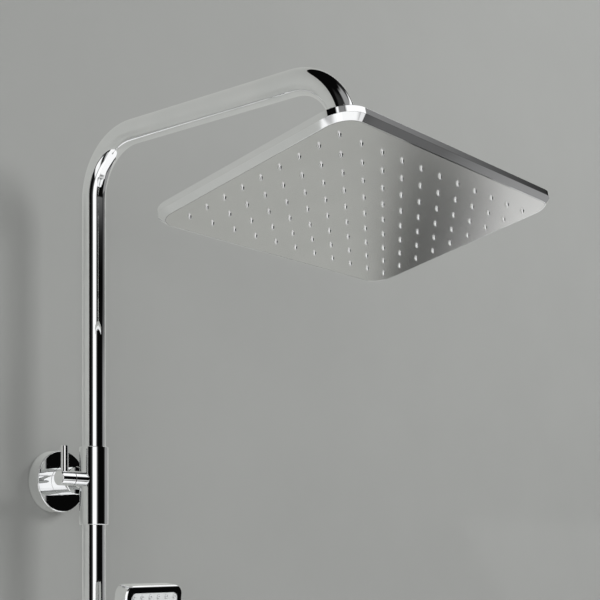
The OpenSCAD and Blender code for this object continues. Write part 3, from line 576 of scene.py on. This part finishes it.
# Soft nozzles of the hand shower
def hand_nozzles_mesh():
    play, back_gap, sheet_t = 0.05, 0.1, 0.9
    sheet_z = back_gap - HAND_RECESS
    sheet = skin([face_loop(BEZEL + play, sheet_z), face_loop(BEZEL + play, sheet_z + sheet_t)])
    bore_r, root_r, tip_r = 0.8, 2, 1.9
    root_z, tip_z, bore_z = -3, 0.7, 0.55
    tip = revolve(fillet([
        (bore_r, root_z, 0),
        (root_r, root_z, 0),
        (tip_r, tip_z, 0.35),
        (bore_r, bore_z, 0.2),
    ], steps=3), segments=28)
    return join_parts([sheet] + grid(tip, HAND_COLS, HAND_ROWS, HAND_PITCH, HAND_PITCH))


soft_mesh = hand_nozzles_mesh()
add_piece(
    "hand_soft_nozzles", *soft_mesh, HAND_FACE, "hand_shower", ("hand_nozzles",), "light_grey_face", FACE,
    angle=30,
)


# Button spring: an open coil between the ends of the frame's spring
def coil(r, wire, x0, x1, turns=5, steps=24, sides=10):
    """Verts and faces of a round wire wound about the button's axis, from x0 to x1."""
    loops = []
    count = turns * steps
    around = [TAU * k / sides for k in range(sides)]
    side = Vector((1, 0, 0))
    for i in range(count + 1):
        a = TAU * i / steps
        x = x0 + (x1 - x0) * i / count
        middle = Vector((x, RISER_Y + r * math.cos(a), SLIDER_Z + r * math.sin(a)))
        out = Vector((0, math.cos(a), math.sin(a)))
        loops.append([
            tuple(middle + out * (wire * math.cos(b)) + side * (wire * math.sin(b))) for b in around
        ])
    return skin(loops)


low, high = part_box("button_spring")
COIL_R, WIRE_R = 4.35, 0.4
coil_mesh = coil(COIL_R, WIRE_R, low.x / MM + WIRE_R, high.x / MM - WIRE_R)
spring = add_piece(
    "button_spring_coil", *coil_mesh, MILLIMETRES, "slider", ("button_spring",), "steel", STEEL,
)
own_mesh(spring)


# Camera
camera_data = bpy.data.cameras.new("camera")
camera_data.sensor_width = 36
camera_data.lens = CAMERA_LENS
camera_data.shift_y = CAMERA_SHIFT
camera_data.clip_end = 50
camera = bpy.data.objects.new("camera", camera_data)
camera.location = CAMERA_AT
camera.rotation_euler = (math.pi / 2, 0, CAMERA_TURN)
bpy.context.scene.collection.objects.link(camera)
bpy.context.scene.camera = camera


# Backdrop: wall, floor and what the polished metal mirrors
WALL_TOP, FLOOR_Z, ROOM, WALL_Y = 1.15, -0.95, 4.0, 0.0005
WALL_LOW, WALL_HIGH = -0.9, 1.1
CARD_DARK, CARD_LIGHT = 0.01, 1.0
DOME_AT = (0, -0.2, 0.05)


def stage_plane(name, corners, material):
    mesh = bpy.data.meshes.new(name)
    mesh.from_pydata(corners, [], [tuple(range(len(corners)))])
    mesh.materials.append(material)
    made = bpy.data.objects.new(name, mesh)
    bpy.context.scene.collection.objects.link(made)
    return made


def plain_wall(name, colour, painted_reflection=None, see_through_back=False):
    """Matt paint; with a third argument, metal sees a painted reflection instead: lighter tones, given at the
    wall's foot and at its top.
    """
    made, tree, shader = new_material(name)
    shader.inputs["Roughness"].default_value = 0.9
    shader.inputs["Specular IOR Level"].default_value = 0.1
    low = tuple(c * 0.97 for c in colour)
    paint = tint(tree, noise(tree, WALL_CLOUD, detail=5), low, colour)
    # Painted reflection: glossy rays see lighter colours than the paint, lightest at the wall's foot
    if painted_reflection:
        where = tree.nodes.new("ShaderNodeTexCoord")
        height = tree.nodes.new("ShaderNodeSeparateXYZ")
        tree.links.new(where.outputs["Object"], height.inputs["Vector"])
        ray = tree.nodes.new("ShaderNodeLightPath")
        choice = tree.nodes.new("ShaderNodeMix")
        choice.data_type = "RGBA"
        tree.links.new(ray.outputs["Is Glossy Ray"], choice.inputs["Factor"])
        tree.links.new(paint, choice.inputs["A"])
        tree.links.new(tint(tree, height.outputs["Z"], *painted_reflection, WALL_LOW, WALL_HIGH), choice.inputs["B"])
        paint = choice.outputs["Result"]
    tree.links.new(paint, shader.inputs["Base Color"])
    if see_through_back:
        output = next(n for n in tree.nodes if n.bl_idname == "ShaderNodeOutputMaterial")
        side = tree.nodes.new("ShaderNodeNewGeometry")
        clear = tree.nodes.new("ShaderNodeBsdfTransparent")
        choice = tree.nodes.new("ShaderNodeMixShader")
        tree.links.new(side.outputs["Backfacing"], choice.inputs["Fac"])
        tree.links.new(shader.outputs["BSDF"], choice.inputs[1])
        tree.links.new(clear.outputs["BSDF"], choice.inputs[2])
        tree.links.new(choice.outputs["Shader"], output.inputs["Surface"])
    return made


# Painted reflection of the wall, lighter than its paint, from its foot to its top
painted_reflection_tones = ((0.68, 0.69, 0.665), (0.45, 0.455, 0.435))
stage_plane(
    "wall",
    [(-ROOM, WALL_Y, FLOOR_Z), (ROOM, WALL_Y, FLOOR_Z), (ROOM, WALL_Y, WALL_TOP), (-ROOM, WALL_Y, WALL_TOP)],
    plain_wall("wall_paint_and_painted_reflection", (0.37, 0.376, 0.365), painted_reflection_tones, see_through_back=True),
)
floor = stage_plane(
    "floor",
    [(-ROOM, -ROOM, FLOOR_Z), (ROOM, -ROOM, FLOOR_Z), (ROOM, ROOM, FLOOR_Z), (-ROOM, ROOM, FLOOR_Z)],
    plain_wall("floor_paint", (0.72, 0.72, 0.71)),
)


def reflected_only(obj):
    """Leaves an object in reflections alone."""
    obj.visible_camera = False
    obj.visible_diffuse = False
    obj.visible_shadow = False
    obj.visible_volume_scatter = False


def glow(name, strength):
    """Plain white light of a given strength."""
    made = bpy.data.materials.new(name)
    made.use_nodes = True
    tree = made.node_tree
    tree.nodes.clear()
    output = tree.nodes.new("ShaderNodeOutputMaterial")
    light = tree.nodes.new("ShaderNodeEmission")
    light.inputs["Color"].default_value = (1, 1, 1, 1)
    light.inputs["Strength"].default_value = strength
    tree.links.new(light.outputs["Emission"], output.inputs["Surface"])
    return made


# Two reflecting cards beside the wall's end, which shade the satin face
dark_card = stage_plane(
    "card_dark",
    [(0.62, -0.004, -0.02), (0.73, -0.004, -0.02), (1.28, -0.004, -0.42), (1.04, -0.004, -0.55)],
    glow("card_dark", CARD_DARK),
)
light_card = stage_plane(
    "card_light",
    [(0.74, -0.0035, -0.02), (2.2, -0.0035, -0.02), (2.2, -0.0035, -0.9), (1.36, -0.0035, -0.55)],
    glow("card_light", CARD_LIGHT),
)


def studio_material():
    """Dark studio with bright areas by azimuth and elevation from the dome's middle."""
    made = bpy.data.materials.new("studio")
    made.use_nodes = True
    tree = made.node_tree
    tree.nodes.clear()
    links, new = tree.links, tree.nodes.new
    output = new("ShaderNodeOutputMaterial")
    light = new("ShaderNodeEmission")
    links.new(light.outputs["Emission"], output.inputs["Surface"])
    where = new("ShaderNodeTexCoord")
    parts = new("ShaderNodeSeparateXYZ")
    unit = new("ShaderNodeVectorMath")
    unit.operation = "NORMALIZE"
    links.new(where.outputs["Object"], unit.inputs[0])
    links.new(unit.outputs["Vector"], parts.inputs["Vector"])

    def math_node(kind, a, b=None):
        made = new("ShaderNodeMath")
        made.operation = kind
        for slot, value in ((0, a), (1, b)):
            if value is None:
                continue
            if isinstance(value, (int, float)):
                made.inputs[slot].default_value = value
            else:
                links.new(value, made.inputs[slot])
        return made.outputs[0]

    turn = math_node("ARCTAN2", parts.outputs["Y"], parts.outputs["X"])
    azimuth = math_node("MULTIPLY", turn, 180 / math.pi)
    elevation = math_node("MULTIPLY", math_node("ARCSINE", parts.outputs["Z"]), 180 / math.pi)
    sideways = math_node("MULTIPLY", math_node("ARCSINE", parts.outputs["X"]), 180 / math.pi)

    def step(value, middle, soft, rising=True):
        made = new("ShaderNodeMapRange")
        made.interpolation_type = "SMOOTHSTEP"
        links.new(value, made.inputs["Value"])
        made.inputs["From Min"].default_value = middle - soft
        made.inputs["From Max"].default_value = middle + soft
        made.inputs["To Min"].default_value = 0 if rising else 1
        made.inputs["To Max"].default_value = 1 if rising else 0
        return made.outputs["Result"]

    def band(value, low, high, low_soft, high_soft):
        return math_node("MULTIPLY", step(value, low, low_soft), step(value, high, high_soft, False))

    total = STUDIO_DARK
    for across, rise, side, strength in STUDIO:
        patch = math_node("MULTIPLY", band(azimuth, *across), band(elevation, *rise))
        if side:
            patch = math_node("MULTIPLY", patch, step(sideways, *side, False))
        total = math_node("MAXIMUM", total, math_node("MULTIPLY", patch, strength))
    # Floor, seen below the foot of the right, left and front walls
    foot = None
    for axis, slope in (("X", ROOM_RIGHT), ("X", -ROOM_LEFT), ("Y", -ROOM_FRONT)):
        side = math_node("MULTIPLY", parts.outputs[axis], slope)
        foot = side if foot is None else math_node("MAXIMUM", foot, side)
    drop = math_node("ADD", parts.outputs["Z"], foot)
    ground = math_node("MULTIPLY", step(drop, 0, FLOOR_SOFT, False), FLOOR_GLOW)
    links.new(math_node("MAXIMUM", total, ground), light.inputs["Strength"])
    return made


# Bright areas of the studio as (azimuth, elevation, right-hand limit, strength), in degrees.
# Azimuth and elevation give from, to and the softness of both ends; the limit is an angle towards +X.
# Azimuth 0 is +X and 90 is into the wall
STUDIO_DARK = 0.0025
ROOM_RIGHT, ROOM_LEFT, ROOM_FRONT = 0.84, 1.52, 0.577
FLOOR_SOFT, FLOOR_GLOW = 0.06, 1.1
STUDIO = (
    ((-143.4, -110.8, 5.2, 8.5), (-60, 29, 3, 3), None, 1.2),
    ((-157, -147, 4, 4), (-45, 29, 3, 3), None, 0.045),
    ((-106, -99, 5, 5), (-10, 22, 3, 3), None, 0.04),
    ((-121, -10, 6, 8), (22, 48, 3, 3), (43.6, 0.8), 1.2),
    ((-121, -16, 6, 8), (19, 48, 3, 3), (51, 8), 0.25),
    ((-121, -12, 6, 8), (17, 48, 3, 3), None, 0.033),
    ((-155, -146, 3, 4), (30.5, 39.5, 3, 2.5), None, 1.1),
    ((-146, -124, 4, 4), (30, 40, 3, 3), None, 0.25),
    ((-106, -36, 9, 14), (40, 68.5, 4, 4), None, 0.33),
    ((-165, 5, 8, 8), (36, 58, 4, 8), None, 0.03),
    ((-28, -4, 4, 4), (38.5, 47.5, 2, 2), None, 1.2),
    ((-179, -148, 1, 5), (-32, -9, 4, 3), None, 1.1),
    ((-181, -130, 1, 3), (-78, -47, 3, 3), None, 0.57),
    ((-35, 6, 5, 1), (-26, 11, 3, 4), None, 0.32),
    ((-30, 6, 8, 1), (0, 21, 3, 3), None, 0.12),
    ((-60, -43, 3, 2), (-45, -17, 3, 1.2), None, 0.9),
    ((-40.5, -20, 1.5, 6), (-26, -12, 3, 5), None, 0.13),
    ((-44, -34, 3, 3), (-3, 12, 3, 3), None, 0.027),
    ((-107, -58, 8, 5), (-27, -8, 3, 3), None, 0.7),
    ((-181, -178, 1, 3), (-45, 25, 3, 3), None, 0.13),
)


def dome_mesh(radius=3.6, rings=24, segments=48):
    rises = [math.pi * (k / rings - 0.5) for k in range(rings + 1)]
    outline = [(radius * math.cos(a), radius * math.sin(a)) for a in rises]
    outline[0], outline[-1] = (0, -radius), (0, radius)
    return revolve(outline, segments)


# Seen in reflections only
dome_verts, dome_faces = dome_mesh()
dome_data = bpy.data.meshes.new("studio_dome")
dome_data.from_pydata(dome_verts, [], dome_faces)
dome_data.shade_smooth()
dome_data.materials.append(studio_material())
dome = bpy.data.objects.new("studio_dome", dome_data)
dome.location = DOME_AT
bpy.context.scene.collection.objects.link(dome)
for piece in (dark_card, light_card, dome):
    reflected_only(piece)
floor.visible_glossy = False


# Light: soft lamps that metal doesn't mirror, and a pale world
def soft_lamp(name, at, towards, size, watts):
    data = bpy.data.lights.new(name, "AREA")
    data.shape = "SQUARE"
    data.size = size
    data.energy = watts
    lamp = bpy.data.objects.new(name, data)
    lamp.location = at
    lamp.rotation_euler = (Vector(towards) - Vector(at)).to_track_quat("-Z", "Y").to_euler()
    lamp.visible_glossy = False
    bpy.context.scene.collection.objects.link(lamp)


soft_lamp("key", (1.5, -2.2, 1.4), towards=(0, 0, -0.1), size=1.2, watts=42)
soft_lamp("fill", (-2.2, -1.8, 0.6), towards=(0, -0.1, 0), size=1.8, watts=22)

world = bpy.data.worlds.new("pale_world")
bpy.context.scene.world = world
world.use_nodes = True
tree = world.node_tree
tree.nodes.clear()
world_output = tree.nodes.new("ShaderNodeOutputWorld")
background = tree.nodes.new("ShaderNodeBackground")
path = tree.nodes.new("ShaderNodeLightPath")
WORLD_LIGHT, WORLD_SEEN = 0.45, 0.82
# One level lights the part, another is what the camera and the metal see
seen = path.outputs["Is Camera Ray"]
for ray in ("Is Glossy Ray", "Is Transmission Ray"):
    either = tree.nodes.new("ShaderNodeMath")
    either.operation = "MAXIMUM"
    tree.links.new(seen, either.inputs[0])
    tree.links.new(path.outputs[ray], either.inputs[1])
    seen = either.outputs[0]
level = tree.nodes.new("ShaderNodeMapRange")
level.inputs["To Min"].default_value = WORLD_LIGHT
level.inputs["To Max"].default_value = WORLD_SEEN
tree.links.new(seen, level.inputs["Value"])
tree.links.new(level.outputs["Result"], background.inputs["Strength"])
tree.links.new(background.outputs["Background"], world_output.inputs["Surface"])

bpy.context.scene.view_settings.view_transform = "Standard"
